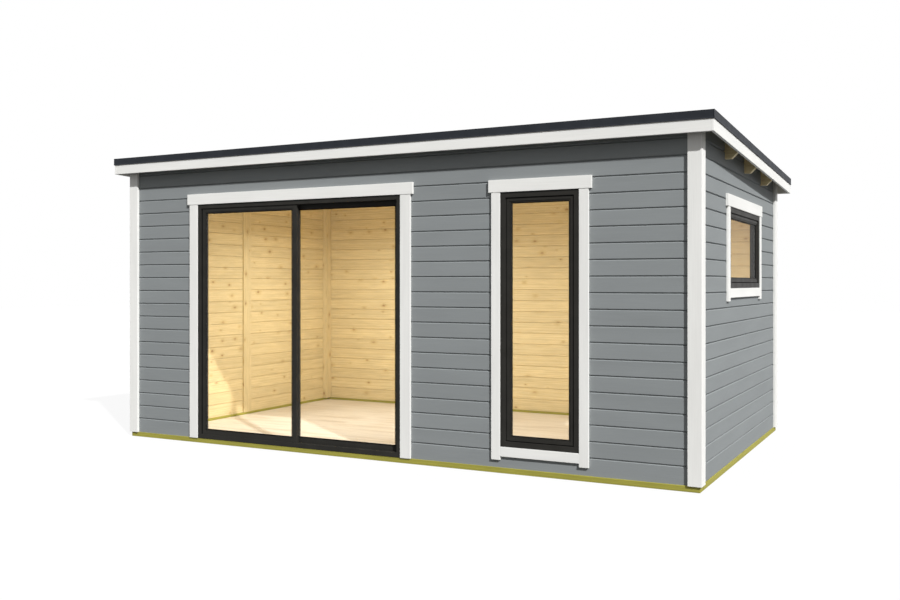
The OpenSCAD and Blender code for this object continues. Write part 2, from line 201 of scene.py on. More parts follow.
def timber_finish(name, early_wood, late_wood, knot_wood, roughness, knot_share):
    """Planed softwood: growth lines that bend round the knots, fine fibres, and boards of unlike tone."""
    material, tree, shader = start_finish(name)
    grain = add_node(tree, "Attribute", {}, attribute_name="grain").outputs["Vector"]
    parts = add_node(tree, "SeparateXYZ", {0: grain})
    # Knots: a spot in some cells of a pattern, longer along the board than across it, with a ragged edge
    cells = add_node(tree, "VectorMath", {0: grain, 1: KNOT_CELLS}, operation="MULTIPLY").outputs[0]
    ragged = add_node(tree, "TexNoise", {"Vector": grain, "Scale": 45.0, "Detail": 2.0}).outputs["Color"]
    ragged = scale_colour(tree, ragged, 0.07)
    cells = add_node(tree, "VectorMath", {0: cells, 1: ragged}, operation="ADD").outputs[0]
    cell = add_node(tree, "TexVoronoi", {"Vector": cells, "Scale": 1.0}, voronoi_dimensions="2D")
    chance = add_node(tree, "SeparateColor", {0: cell.outputs["Color"]})
    has_knot = calculate(tree, "LESS_THAN", chance.outputs[0], knot_share)
    size = fit_range(tree, chance.outputs[1], 0.0, 1.0, *KNOT_RADII)
    radius = calculate(tree, "MAXIMUM", calculate(tree, "MULTIPLY", size, has_knot), NO_KNOT)
    reach = calculate(tree, "DIVIDE", cell.outputs["Distance"], radius)
    core = fit_range(tree, reach, 0.4, 1.3, 1.0, 0.0, "SMOOTHSTEP")
    core = calculate(tree, "MULTIPLY", core, fit_range(tree, chance.outputs[2], 0.0, 1.0, 0.2, 0.95))
    halo = fit_range(tree, reach, 0.8, 3.6, 1.0, 0.0, "SMOOTHSTEP")
    # Growth lines: bands across the board, which sway slowly and bend round the knots
    sway = calculate(tree, "MULTIPLY", grain_noise(tree, (1.0, 7.0, 7.0), 2.0), LINE_SWAY)
    bend = calculate(tree, "MULTIPLY", halo, KNOT_SWAY)
    slant = calculate(tree, "MULTIPLY", parts.outputs[2], LINE_SLANT)
    across = calculate(tree, "ADD", parts.outputs[1], slant)
    across = calculate(tree, "ADD", across, calculate(tree, "ADD", sway, bend))
    bands = calculate(tree, "MULTIPLY", across, GROWTH_LINES)
    lines = add_node(tree, "TexNoise", {"W": bands, "Scale": 1.0, "Detail": 2.0}, noise_dimensions="1D")
    lines = fit_range(tree, lines.outputs["Fac"], 0.38, 0.68, 0.0, 1.0, "SMOOTHSTEP")
    fibres = grain_noise(tree, (9.0, 700.0, 700.0), 2.0)
    mottle = grain_noise(tree, (5.0, 30.0, 30.0), 3.0)
    colour = mix_colours(tree, calculate(tree, "MULTIPLY", lines, 0.8), early_wood, late_wood)
    colour = mix_colours(tree, calculate(tree, "MULTIPLY", halo, 0.75), colour, late_wood)
    colour = mix_colours(tree, core, colour, knot_wood)
    colour = scale_colour(tree, colour, vary(tree, fibres, 0.95, 1.04))
    colour = scale_colour(tree, colour, vary(tree, mottle, 0.91, 1.07))
    colour = scale_colour(tree, colour, board_tone(tree, 0.93, 1.04))
    tree.links.new(colour, shader.inputs["Base Color"])
    sheen = fit_range(tree, lines, 0.0, 1.0, roughness + 0.06, roughness - 0.06)
    tree.links.new(sheen, shader.inputs["Roughness"])
    roughen(tree, shader, calculate(tree, "ADD", lines, fibres), 0.0005)
    return material


treated_wood = timber_finish(
    "treated_wood", (0.345, 0.318, 0.047, 1), (0.258, 0.234, 0.031, 1), (0.13, 0.10, 0.02, 1), 0.70, 0.25)

low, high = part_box("base_beams_front_back")
side_low, side_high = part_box("base_beams_sides")
base_top = high.z
bm = start_mesh()
for y in (low.y, high.y - BEAM_WIDTH):
    board(bm, (low.x, y, 0), (high.x, y + BEAM_WIDTH, base_top), X, BEAM_EASE)
for x in (side_low.x, side_high.x - BEAM_WIDTH):
    board(bm, (x, side_low.y, 0), (x + BEAM_WIDTH, side_high.y, base_top), Y, BEAM_EASE)
set_in_place("base_beams", bm, [treated_wood], ["base_beams_front_back", "base_beams_sides"])


# Floor. Pale wood sheets laid side by side between the base beams, with hairline joints.
# Their sanded face shows faint streaks along the room.
SHEET_WIDTH = 1.25
SHEET_JOINT = 0.0008
SHEET_EASE = 0.0006


def sheet_finish(name, pale, streak):
    """Sanded sheet with soft streaks and a fine fleck."""
    material, tree, shader = start_finish(name)
    streaks = fit_range(tree, grain_noise(tree, (1.5, 11.0, 11.0), 4.0), 0.42, 0.70, 0.0, 1.0, "SMOOTHSTEP")
    fleck = grain_noise(tree, (25.0, 220.0, 220.0), 2.0)
    colour = mix_colours(tree, calculate(tree, "MULTIPLY", streaks, 0.8), pale, streak)
    colour = scale_colour(tree, colour, vary(tree, fleck, 0.95, 1.04))
    colour = scale_colour(tree, colour, board_tone(tree, 0.98, 1.01))
    tree.links.new(colour, shader.inputs["Base Color"])
    tree.links.new(fit_range(tree, streaks, 0.0, 1.0, 0.62, 0.5), shader.inputs["Roughness"])
    roughen(tree, shader, fleck, 0.0003)
    return material


sheet_wood = sheet_finish("floor_sheet", (0.75, 0.675, 0.55, 1), (0.59, 0.495, 0.37, 1))

low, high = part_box("floor")
bm = start_mesh()
sheets = math.ceil((high.x - low.x) / SHEET_WIDTH)
step = (high.x - low.x) / sheets
for i in range(sheets):
    x0 = low.x + i * step + (SHEET_JOINT / 2 if i else 0)
    x1 = low.x + (i + 1) * step - (SHEET_JOINT / 2 if i < sheets - 1 else 0)
    board(bm, (x0, low.y, low.z), (x1, high.y, high.z), X, SHEET_EASE)
set_in_place("floor_sheets", bm, [sheet_wood], ["floor"])


# Walls. Tongued spruce boards stacked on edge, painted grey outside and bare inside.
# Their edges are chamfered, which leaves a V at each joint: deep outside, fine inside.
# The openings, the slots for the purlins and the slope of the top are cut out of the stack.
BOARD_PITCH = 0.114
FIRST_JOINT = 0.048
# A V's reach below and above its joint, and its depth; then half the height of the slit at its root,
# and the slit's depth
OUTER_V = (0.0065, 0.0080, 0.0065)
INNER_V = (0.0040, 0.0040, 0.0034)
JOINT_SLIT = (0.0012, 0.005)
# Numbers set aside for the boards of a wall, and the share of its thickness that is painted
WALL_NUMBERS = 30
PAINTED_SHARE = 0.4
ROOF_PITCH = math.radians(2.3)
PURLIN_W, PURLIN_H = 0.045, 0.145
PURLINS = 3
# How far a cutting block reaches past the wall that it cuts
PAST = 0.3

wall_low, wall_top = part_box("front_wall_left")
front_face = wall_low.y
wall_thickness = wall_top.y - front_face
left, right = wall_low.x, -wall_low.x
back_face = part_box("back_wall")[1].y


def roof_under(y):
    """Height of the underside of the roof boards."""
    return wall_top.z - (y - front_face) * math.tan(ROOF_PITCH)


def painted_finish(name, paint, roughness):
    """Opaque paint on planed boards: brush lines along the grain and a faint unevenness."""
    material, tree, shader = start_finish(name)
    shader.inputs["Specular IOR Level"].default_value = 0.02
    brush = grain_noise(tree, (4.0, 260.0, 260.0), 3.0)
    cloud = grain_noise(tree, (1.6, 9.0, 9.0), 3.0)
    colour = scale_colour(tree, paint, vary(tree, cloud, 0.965, 1.035))
    colour = scale_colour(tree, colour, vary(tree, brush, 0.975, 1.025))
    colour = scale_colour(tree, colour, board_tone(tree, 0.975, 1.02))
    tree.links.new(colour, shader.inputs["Base Color"])
    sheen = vary(tree, brush, roughness - 0.07, roughness + 0.07)
    tree.links.new(sheen, shader.inputs["Roughness"])
    roughen(tree, shader, brush, 0.0004)
    return material


grey_paint = painted_finish("grey_paint", (0.252, 0.268, 0.271), 0.55)
bare_wood = timber_finish(
    "bare_wood", (0.81, 0.675, 0.385, 1), (0.66, 0.505, 0.24, 1), (0.38, 0.22, 0.085, 1), 0.55, 0.60)


def stacked_outline(bottom, top):
    """Outline through a stack of boards, as depth from the outer face and height."""
    count = int((top - FIRST_JOINT) / BOARD_PITCH)
    joints = [FIRST_JOINT + BOARD_PITCH * n for n in range(1, count + 1)]
    slit, slit_depth = JOINT_SLIT
    faces = []
    for face, into, (under, over, depth) in ((0, 1, OUTER_V), (wall_thickness, -1, INNER_V)):
        line = [(face, bottom)]
        for z in joints:
            root = face + into * depth
            line += [(face, z - under), (root, z - slit), (root + into * slit_depth, z - slit)]
            line += [(root + into * slit_depth, z + slit), (root, z + slit), (face, z + over)]
        faces.append(line + [(face, top)])
    return faces[0] + faces[1][::-1]


def extrude(bm, outline, put, start, end):
    """Prism of an outline: put(distance along, first, second) gives the place of an outline point."""
    rings = [[bm.verts.new(put(s, *point)) for point in outline] for s in (start, end)]
    made = [bm.faces.new(ring) for ring in rings]
    for i in range(len(outline)):
        made.append(bm.faces.new((rings[0][i - 1], rings[0][i], rings[1][i], rings[1][i - 1])))
    return made


def purlin_lines():
    """Front edge of each purlin, in y."""
    low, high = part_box("purlins")
    step = (high.y - low.y - PURLIN_W) / (PURLINS - 1)
    return [low.y + step * i for i in range(PURLINS)]


def wall_mesh(put, start, end, openings):
    """Stack of boards with its openings and its top cut, as a plain mesh."""
    bm = bmesh.new()
    extrude(bm, stacked_outline(base_top, wall_top.z), put, start, end)
    stack = make_object("stack", bm)
    bm = bmesh.new()
    over_roof = (right + PAST, back_face + PAST, wall_top.z + PAST)
    block(bm, (left - PAST, front_face - PAST, 0), over_roof, foot=roof_under)
    for low, high in openings:
        block(bm, low, high)
    cutter = make_object("cutter", bm)
    cut = stack.modifiers.new("cut", "BOOLEAN")
    cut.object = cutter
    cut.solver = "EXACT"
    cut.use_self = True
    cut_stack = stack.evaluated_get(bpy.context.evaluated_depsgraph_get())
    mesh = bpy.data.meshes.new_from_object(cut_stack)
    for helper in (stack, cutter):
        bpy.data.objects.remove(helper)
    return mesh


def board_wall(name, along, outer, inward, start, end, openings, nodes):
    """Wall whose boards run along X or Y, with its outer face at a place and its inside inward of it."""
    def put(s, depth, z):
        return (s, outer + inward * depth, z) if along == X else (outer + inward * depth, s, z)

    bm = start_mesh(wall_mesh(put, start, end, openings))
    numbers = [next(board_numbers) for _ in range(WALL_NUMBERS)]
    across = Y if along == X else X
    for face in bm.faces:
        middle = face.calc_center_median()
        course = math.floor((middle.z - FIRST_JOINT) / BOARD_PITCH)
        lay_grain(bm, [face], along, numbers[course])
        face.material_index = int((middle[across] - outer) * inward > PAINTED_SHARE * wall_thickness)
    set_in_place(name, bm, [grey_paint, bare_wood], nodes)


door_hole = (
    (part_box("front_wall_left")[1].x, front_face - PAST, 0),
    (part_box("front_wall_middle")[0].x, front_face + PAST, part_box("front_wall_over_door")[0].z))
front_hole = (
    (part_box("front_wall_middle")[1].x, front_face - PAST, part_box("front_wall_under_window")[1].z),
    (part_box("front_wall_right")[0].x, front_face + PAST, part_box("front_wall_over_window")[0].z))
side_hole = (
    (right - PAST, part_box("right_wall_front")[1].y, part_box("right_wall_under_window")[1].z),
    (right + PAST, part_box("right_wall_back")[0].y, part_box("right_wall_over_window")[0].z))
slots = [
    ((left - 2 * PAST, y, roof_under(y) - PURLIN_H), (right + 2 * PAST, y + PURLIN_W, wall_top.z + PAST / 2))
    for y in purlin_lines()]

board_wall("front_wall_boards", X, front_face, 1, left, right, [door_hole, front_hole], [
    "front_wall_left", "front_wall_over_door", "front_wall_middle", "front_wall_under_window",
    "front_wall_over_window", "front_wall_right"])
board_wall("back_wall_boards", X, back_face, -1, left, right, [], ["back_wall"])
side_start, side_end = front_face + wall_thickness, back_face - wall_thickness
board_wall("left_wall_boards", Y, left, 1, side_start, side_end, slots, ["left_wall"])
board_wall("right_wall_boards", Y, right, -1, side_start, side_end, [side_hole] + slots, [
    "right_wall_front", "right_wall_under_window", "right_wall_over_window", "right_wall_back"])


# Inner posts and cover board. Bare planed spruce: a post stands on the base in each corner,
# and an upright board covers the joint in the middle of the left wall.
POST_T, POST_W = 0.050, 0.095
POST_EASE = 0.002

low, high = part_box("corner_posts")
bm = start_mesh()
for x in (low.x, high.x - POST_T):
    for y in (low.y, high.y - POST_W):
        board(bm, (x, y, low.z), (x + POST_T, y + POST_W, high.z), Z, POST_EASE, roof_under)
set_in_place("inner_posts", bm, [bare_wood], ["corner_posts"])

bm = start_mesh()
board(bm, *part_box("left_wall_cover_board"), Z, POST_EASE)
set_in_place("cover_board", bm, [bare_wood], ["left_wall_cover_board"])


# Corner boards. Planed boards painted white, two to a corner, nailed over the wall ends.
# The front and back ones cover the edges of the ones on the sides.
TRIM_EASE = 0.0022
CORNER_T, CORNER_W, CORNER_SIDE_W = 0.022, 0.094, 0.086

white_paint = painted_finish("white_paint", (0.815, 0.810, 0.780), 0.42)

low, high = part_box("corner_boards_front_back")
bm = start_mesh()
for x in (low.x, high.x - CORNER_W):
    for y in (low.y, high.y - CORNER_T):
        board(bm, (x, y, low.z), (x + CORNER_W, y + CORNER_T, high.z), Z, TRIM_EASE, roof_under)
low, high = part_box("corner_boards_sides")
for x in (low.x, high.x - CORNER_T):
    for y in (low.y, high.y - CORNER_SIDE_W):
        board(bm, (x, y, low.z), (x + CORNER_T, y + CORNER_SIDE_W, high.z), Z, TRIM_EASE, roof_under)
set_in_place(
    "corner_boards", bm, [white_paint], ["corner_boards_front_back", "corner_boards_sides"])


# Door frame. Dark coated metal profiles: two jambs with a head and a sill between them. Their faces
# stand out from the wall, and a rebate lies behind the trims. The sliding leaf's lane is sunk into
# the head, the sill and the right jamb, and in the sill it holds a rail for the leaf's rollers.
DOOR_LAP = 0.020
LANE_CLEAR = 0.005
LANE_DEPTH = 0.015
RAIL_W = 0.005
RAIL_BELOW = LANE_CLEAR / 2
PROFILE_EASE = 0.0012


def coated_finish(name, colour, roughness):
    """Satin coating on metal, with a fine orange peel and faint handling marks."""
    material, tree, shader = start_finish(name)
    shader.inputs["Specular IOR Level"].default_value = 0.05
    place = add_node(tree, "TexCoord", {}).outputs["Object"]
    peel = add_node(tree, "TexNoise", {"Vector": place, "Scale": 900.0, "Detail": 1.0}).outputs["Fac"]
    marks = add_node(tree, "TexNoise", {"Vector": place, "Scale": 9.0, "Detail": 5.0}).outputs["Fac"]
    shade = scale_colour(tree, colour, vary(tree, marks, 0.88, 1.12))
    tree.links.new(shade, shader.inputs["Base Color"])
    sheen = vary(tree, marks, roughness - 0.06, roughness + 0.06)
    tree.links.new(sheen, shader.inputs["Roughness"])
    roughen(tree, shader, peel, 0.00015)
    return material


dark_coat = coated_finish("dark_coat", (0.0285, 0.0273, 0.0243), 0.45)


def profile(bm, outline, put, start, end, ease):
    """Extruded profile with eased edges."""
    before = set(bm.faces)
    made = extrude(bm, outline, put, start, end)
    bmesh.ops.recalc_face_normals(bm, faces=made)
    edges = dict.fromkeys(edge for face in made for edge in face.edges)
    bmesh.ops.bevel(bm, geom=list(edges), offset=ease, segments=1, affect="EDGES")
    return [face for face in bm.faces if face not in before]


def box_outline(low, high):
    """Rectangle as an outline."""
    return [(low[0], low[1]), (high[0], low[1]), (high[0], high[1]), (low[0], high[1])]


jamb_low, jamb_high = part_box("door_jambs")
clear_low, clear_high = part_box("door_sill")
clear_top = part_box("door_head")[0].z
frame_depth = jamb_high.y - front_face
proud = jamb_low.y - front_face
shown_top = jamb_high.z - DOOR_LAP
lane_floor = clear_high.z - LANE_DEPTH
slide_low, slide_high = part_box("sliding_leaf_frame")
lane = (slide_low.y - front_face - LANE_CLEAR, slide_high.y - front_face + LANE_CLEAR)
rail_middle = (lane[0] + lane[1]) / 2


def upright(z, x, y):
    """Place on an upright profile: height, then width and depth into the wall."""
    return (x, front_face + y, z)


def level(x, y, z):
    """Place on a level profile: distance along the wall, then depth into it and height."""
    return (x, front_face + y, z)


bm = start_mesh()
left_jamb = box_outline((jamb_low.x, 0), (clear_low.x, frame_depth))
left_face = box_outline((jamb_low.x + DOOR_LAP, proud), (clear_low.x, 0))
right_face = box_outline((clear_high.x, proud), (jamb_high.x - DOOR_LAP, 0))
lane_jamb = [
    (clear_high.x, 0), (jamb_high.x, 0), (jamb_high.x, frame_depth), (clear_high.x, frame_depth),
    (clear_high.x, lane[1]), (clear_high.x + LANE_DEPTH, lane[1]),
    (clear_high.x + LANE_DEPTH, lane[0]), (clear_high.x, lane[0])]
for outline in (left_jamb, lane_jamb):
    profile(bm, outline, upright, base_top, jamb_high.z, PROFILE_EASE)
for outline in (left_face, right_face):
    profile(bm, outline, upright, base_top, shown_top, PROFILE_EASE)
set_in_place("jambs", bm, [dark_coat], ["door_jambs"])

lane_top = clear_top + LANE_DEPTH
head = [
    (proud, clear_top), (lane[0], clear_top), (lane[0], lane_top), (lane[1], lane_top), (lane[1], clear_top),
    (frame_depth, clear_top), (frame_depth, jamb_high.z),
    (0, jamb_high.z), (0, shown_top), (proud, shown_top)]
bm = start_mesh()
profile(bm, head, level, clear_low.x, clear_high.x, PROFILE_EASE)
set_in_place("head", bm, [dark_coat], ["door_head"])

sill = [
    (proud, base_top), (frame_depth, base_top), (frame_depth, clear_high.z), (lane[1], clear_high.z),
    (lane[1], lane_floor), (lane[0], lane_floor), (lane[0], clear_high.z), (proud, clear_high.z)]
rail_top = clear_high.z - RAIL_BELOW
rail = box_outline((rail_middle - RAIL_W / 2, lane_floor), (rail_middle + RAIL_W / 2, rail_top))
bm = start_mesh()
profile(bm, sill, level, clear_low.x, clear_high.x, PROFILE_EASE)
profile(bm, rail, level, clear_low.x, clear_high.x, PROFILE_EASE)
set_in_place("sill", bm, [dark_coat], ["door_sill"])


# Door leaves. Dark stiles and rails round a sealed glass unit, held by beads and black gaskets.
# The left leaf is fixed in the outer lane, with a black seal beside it. The right one slides behind
# it on two rollers, so its bottom rail has a slot over the sill's rail.
BEAD_W, BEAD_STEP = 0.010, 0.004
GASKET_W, GASKET_T = 0.005, 0.002
SPACER_W, SPACER_IN = 0.002, 0.005
SEAL_W, SEAL_IN = 0.012, 0.003
GLASS_EASE, SPACER_EASE, GASKET_EASE = 0.0004, 0.0005, 0.0006
ROLLER_SLOT = RAIL_W + 2 * LANE_CLEAR
# Share of the glass that isn't see-through, face on and at a slant, and what a film adds to it
GLASS_SOLID = (0.095, 0.20)
GLASS_FILM = 0.015


def glass_finish(name):
    """Clear glass: nearly all see-through, with more reflection at a slant."""
    material, tree, shader = start_finish(name)
    shader.inputs["Base Color"].default_value = (0.045, 0.052, 0.050, 1)
    shader.inputs["Roughness"].default_value = 0.03
    slant = add_node(tree, "LayerWeight", {"Blend": 0.25}).outputs["Fresnel"]
    place = add_node(tree, "TexCoord", {}).outputs["Object"]
    film = add_node(tree, "TexNoise", {"Vector": place, "Scale": 3.0, "Detail": 4.0}).outputs["Fac"]
    haze = calculate(tree, "MULTIPLY", film, GLASS_FILM)
    solid = calculate(tree, "ADD", fit_range(tree, slant, 0.0, 1.0, *GLASS_SOLID), haze)
    tree.links.new(solid, shader.inputs["Alpha"])
    return material


glass = glass_finish("clear_glass")
rubber = coated_finish("black_gasket", (0.006, 0.006, 0.006), 0.65)
spacer_metal = coated_finish("glass_spacer", (0.05, 0.05, 0.05), 0.45)
roller_plastic = coated_finish("roller_plastic", (0.10, 0.10, 0.10), 0.5)


def flat_ring(bm, low, high, width, y0, y1, ease):
    """Mitred ring of bars in the X-Z plane, inside two corners, with its long edges eased."""
    corners = [
        (low.x, low.z, 1, 1), (high.x, low.z, -1, 1), (high.x, high.z, -1, -1), (low.x, high.z, 1, -1)]
    section = [(0, y0), (width, y0), (width, y1), (0, y1)]
    mitres = []
    for x, z, dx, dz in corners:
        mitres.append([bm.verts.new((x + dx * inset, y, z + dz * inset)) for inset, y in section])
    made, edges = [], []
    for i, k in itertools.product(range(4), repeat=2):
        made.append(bm.faces.new((mitres[i - 1][k - 1], mitres[i - 1][k], mitres[i][k], mitres[i][k - 1])))
        edges.append(bm.edges.get((mitres[i - 1][k], mitres[i][k])))
    bmesh.ops.recalc_face_normals(bm, faces=made)
    bmesh.ops.bevel(bm, geom=edges, offset=ease, segments=1, affect="EDGES")


def glaze(name, low, high, node, body, matrix=Matrix()):
    """Glass unit between two corners, with its spacer bar and gaskets, all moved by a matrix."""
    def finished(part, bm, finish, slot, nodes):
        bm.transform(matrix)
        set_in_place(name + "_" + part, bm, [finish], nodes, body)

    outline = box_outline((low.x, low.z), (high.x, high.z))
    bm = start_mesh()
    profile(bm, outline, lambda y, x, z: (x, y, z), low.y, high.y, GLASS_EASE)
    finished("glass_unit", bm, glass, "glass", [node])

    middle = (low.y + high.y) / 2
    bm = start_mesh()
    flat_ring(bm, low, high, SPACER_W, middle - SPACER_IN, middle + SPACER_IN, SPACER_EASE)
    finished("glass_spacer", bm, spacer_metal, "dark_frame", [])

    bm = start_mesh()
    for y0, y1 in ((low.y - GASKET_T, low.y), (high.y, high.y + GASKET_T)):
        flat_ring(bm, low, high, GASKET_W, y0, y1, GASKET_EASE)
    finished("gaskets", bm, rubber, "dark_frame", [])


def leaf(name, frame_node, glass_node, slotted, body):
    """Door leaf between the corners of its two CAD nodes."""
    low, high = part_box(frame_node)
    pane_low, pane_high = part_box(glass_node)
    bead = Vector((BEAD_W, 0, BEAD_W))
    bead_low, bead_high = pane_low - bead, pane_high + bead
    seal = 0 if slotted else SEAL_W
    bm = start_mesh()
    for x0, x1 in ((low.x + seal, bead_low.x), (bead_high.x, high.x)):
        board(bm, (x0, low.y, low.z), (x1, high.y, high.z), Z, PROFILE_EASE)
    board(bm, (bead_low.x, low.y, bead_high.z), (bead_high.x, high.y, high.z), X, PROFILE_EASE)
    slot_top = rail_top + LANE_CLEAR if slotted else low.z
    board(bm, (bead_low.x, low.y, slot_top), (bead_high.x, high.y, bead_low.z), X, PROFILE_EASE)
    if slotted:
        middle = (low.y + high.y) / 2
        for y0, y1 in ((low.y, middle - ROLLER_SLOT / 2), (middle + ROLLER_SLOT / 2, high.y)):
            board(bm, (bead_low.x, y0, low.z), (bead_high.x, y1, slot_top), X, PROFILE_EASE)
    flat_ring(bm, bead_low, bead_high, BEAD_W, low.y + BEAD_STEP, high.y - BEAD_STEP, PROFILE_EASE)
    set_in_place(name, bm, [dark_coat], [frame_node], body)
    glaze(name, pane_low, pane_high, glass_node, body)


leaf("fixed_leaf", "fixed_leaf_frame", "fixed_leaf_glass", False, "building")
leaf("sliding_leaf", "sliding_leaf_frame", "sliding_leaf_glass", True, "sliding_leaf")

low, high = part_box("fixed_leaf_frame")
bm = start_mesh()
board(bm, (low.x, low.y + SEAL_IN, low.z), (low.x + SEAL_W, high.y, high.z), Z, PROFILE_EASE)
set_in_place("fixed_leaf_seal", bm, [rubber], [])

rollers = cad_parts["sliding_leaf_rollers"]
rollers.data.materials.clear()
rollers.data.materials.append(roller_plastic)


# Door trims. White boards nailed to the wall round the door: two uprights that stand on the
# base, and a thicker board across them that reaches past their edges.
DOOR_TRIM_W = 0.090

low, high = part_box("door_side_trims")
bm = start_mesh()
for x in (low.x, high.x - DOOR_TRIM_W):
    board(bm, (x, low.y, low.z), (x + DOOR_TRIM_W, high.y, high.z), Z, TRIM_EASE)
set_in_place("door_uprights", bm, [white_paint], ["door_side_trims"])

bm = start_mesh()
board(bm, *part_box("door_lintel_trim"), X, TRIM_EASE)
set_in_place("door_lintel", bm, [white_paint], ["door_lintel_trim"])


# Windows. A dark mitred frame, rebated behind its trims like the door's, a sash a little behind its
# face with a glass unit, and white boards round them: uprights, a lintel and a sill board.
FRAME_W, FRAME_LAP, FRAME_D = 0.040, 0.015, 0.060
SASH_W, SASH_T, SASH_RECESS = 0.037, 0.040, 0.008
SASH_SEAL_W, SASH_SEAL_IN = 0.006, 0.006
GLASS_T = 0.020
WINDOW_TRIM_W, TRIM_TAIL, TRIM_T = 0.070, 0.026, 0.018
LINTEL_T, LINTEL_H, LINTEL_OVER = 0.021, 0.090, 0.022


def window(name, x, z, w, h, matrix):
    """Window drawn in front of a wall whose face is at y = 0, then turned to its own wall."""
    def finished(part, bm, finishes, slot, nodes):
        bm.transform(matrix)
        set_in_place(name + "_" + part, bm, finishes, nodes)

    edge = Vector((1, 0, 1))
    low, high = Vector((x, 0, z)), Vector((x + w, 0, z + h))
    bm = start_mesh()
    lap = edge * FRAME_LAP
    flat_ring(bm, low - lap, high + lap, FRAME_LAP + FRAME_W, 0, FRAME_D, PROFILE_EASE)
    flat_ring(bm, low, high, FRAME_W, proud, 0, PROFILE_EASE)
    finished("outer_frame", bm, [dark_coat], "dark_frame", [name + "_frame"])

    low, high = low + edge * FRAME_W, high - edge * FRAME_W
    face, back = proud + SASH_RECESS, proud + SASH_RECESS + SASH_T
    bm = start_mesh()
    flat_ring(bm, low, high, SASH_SEAL_W, face + SASH_SEAL_IN, back, PROFILE_EASE)
    finished("seal", bm, [rubber], "dark_frame", [])

    bm = start_mesh()
    low, high = low + edge * SASH_SEAL_W, high - edge * SASH_SEAL_W
    sash_w = SASH_W - SASH_SEAL_W - BEAD_W
    flat_ring(bm, low, high, sash_w, face, back, PROFILE_EASE)
    low, high = low + edge * sash_w, high - edge * sash_w
    flat_ring(bm, low, high, BEAD_W, face + BEAD_STEP, back - BEAD_STEP, PROFILE_EASE)
    finished("opening_sash", bm, [dark_coat], "dark_frame", [name + "_sash"])

    low, high = low + edge * BEAD_W, high - edge * BEAD_W
    low.y, high.y = (face + back - GLASS_T) / 2, (face + back + GLASS_T) / 2
    glaze(name, low, high, name + "_glass", "building", matrix)

    bm = start_mesh()
    for x0 in (x - WINDOW_TRIM_W, x + w):
        foot = z - WINDOW_TRIM_W - TRIM_TAIL
        board(bm, (x0, -TRIM_T, foot), (x0 + WINDOW_TRIM_W, 0, z + h), Z, TRIM_EASE)
    finished("uprights", bm, [white_paint], "white_trim", [name + "_side_trims"])

    out = WINDOW_TRIM_W + LINTEL_OVER
    bm = start_mesh()
    board(bm, (x - out, -LINTEL_T, z + h), (x + w + out, 0, z + h + LINTEL_H), X, TRIM_EASE)
    board(bm, (x, -TRIM_T, z - WINDOW_TRIM_W), (x + w, 0, z), X, TRIM_EASE)
    finished("lintel_and_sill", bm, [white_paint], "white_trim", [name + "_cross_trims"])


def visible_opening(hole, along):
    """Visible frame inside a hole in a wall: where it starts, its sill, its width and its height."""
    low, high = hole
    w = high[along] - low[along] - 2 * FRAME_LAP
    return low[along] + FRAME_LAP, low[Z] + FRAME_LAP, w, high[Z] - low[Z] - 2 * FRAME_LAP


x, z, w, h = visible_opening(front_hole, X)
window("front_window", x, z, w, h, Matrix.Translation((0, front_face, 0)))
y, z, w, h = visible_opening(side_hole, Y)
turned = Matrix.Translation((right, 0, 0)) @ Matrix.Rotation(math.radians(90), 4, "Z")
window("side_window", y, z, w, h, turned)


# Purlins. Three bare spruce beams that pass through the side walls and carry the roof boards.
# Their ends stop behind the side fascias and are chamfered underneath.
PURLIN_CHAMFER = 0.050
PURLIN_EASE = 0.002

low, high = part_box("purlins")
bm = start_mesh()
for y in purlin_lines():
    top = roof_under(y)
    foot = top - PURLIN_H
    outline = [
        (low.x, top), (low.x, foot + PURLIN_CHAMFER), (low.x + PURLIN_CHAMFER, foot),
        (high.x - PURLIN_CHAMFER, foot), (high.x, foot + PURLIN_CHAMFER), (high.x, top)]
    faces = profile(bm, outline, lambda s, x, z: (x, s, z), y, y + PURLIN_W, PURLIN_EASE)
    lay_grain(bm, faces, X, next(board_numbers))
set_in_place("roof_purlins", bm, [bare_wood], ["purlins"])


# Roof boards. Tongued spruce boards laid from front to back over the walls and purlins.
# Their undersides, with a fine V at each joint, are the ceiling and the soffit.
ROOF_BOARD_W = 0.114
ROOF_BOARD_T = 0.019

low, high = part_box("roof_boards")
count = round((high.x - low.x) / ROOF_BOARD_W)
pitch = (high.x - low.x) / count
under, over, depth = INNER_V
outline = [(low.x, ROOF_BOARD_T), (low.x, 0)]
for i in range(1, count):
    joint = low.x + i * pitch
    outline += [(joint - under, 0), (joint, depth), (joint + over, 0)]
outline += [(high.x, 0), (high.x, ROOF_BOARD_T)]
bm = start_mesh()
numbers = [next(board_numbers) for _ in range(count)]
faces = extrude(bm, outline, lambda y, x, z: (x, y, roof_under(y) + z), low.y, high.y)
for face in faces:
    middle = face.calc_center_median()
    lay_grain(bm, [face], Y, numbers[min(count - 1, int((middle.x - low.x) / pitch))])
set_in_place("ceiling_boards", bm, [bare_wood], ["roof_boards"])


# Fascias. Planed boards painted white, nailed round the edge of the roof boards.
# The side ones cover the ends of the front and back ones.
FASCIA_T, FASCIA_H = 0.020, 0.130


def lay_on_slope(bm):
    """Tips a mesh, drawn with z = 0 under the roof boards, to the slope of the roof."""
    for vert in bm.verts:
        vert.co.z += roof_under(vert.co.y)


bm = start_mesh()
low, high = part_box("eaves_fascias")
fascia_z = (ROOF_BOARD_T - FASCIA_H, ROOF_BOARD_T)
for y in (low.y, high.y - FASCIA_T):
    board(bm, (low.x, y, fascia_z[0]), (high.x, y + FASCIA_T, fascia_z[1]), X, TRIM_EASE)
lay_on_slope(bm)
set_in_place("front_and_back_fascias", bm, [white_paint], ["eaves_fascias"])

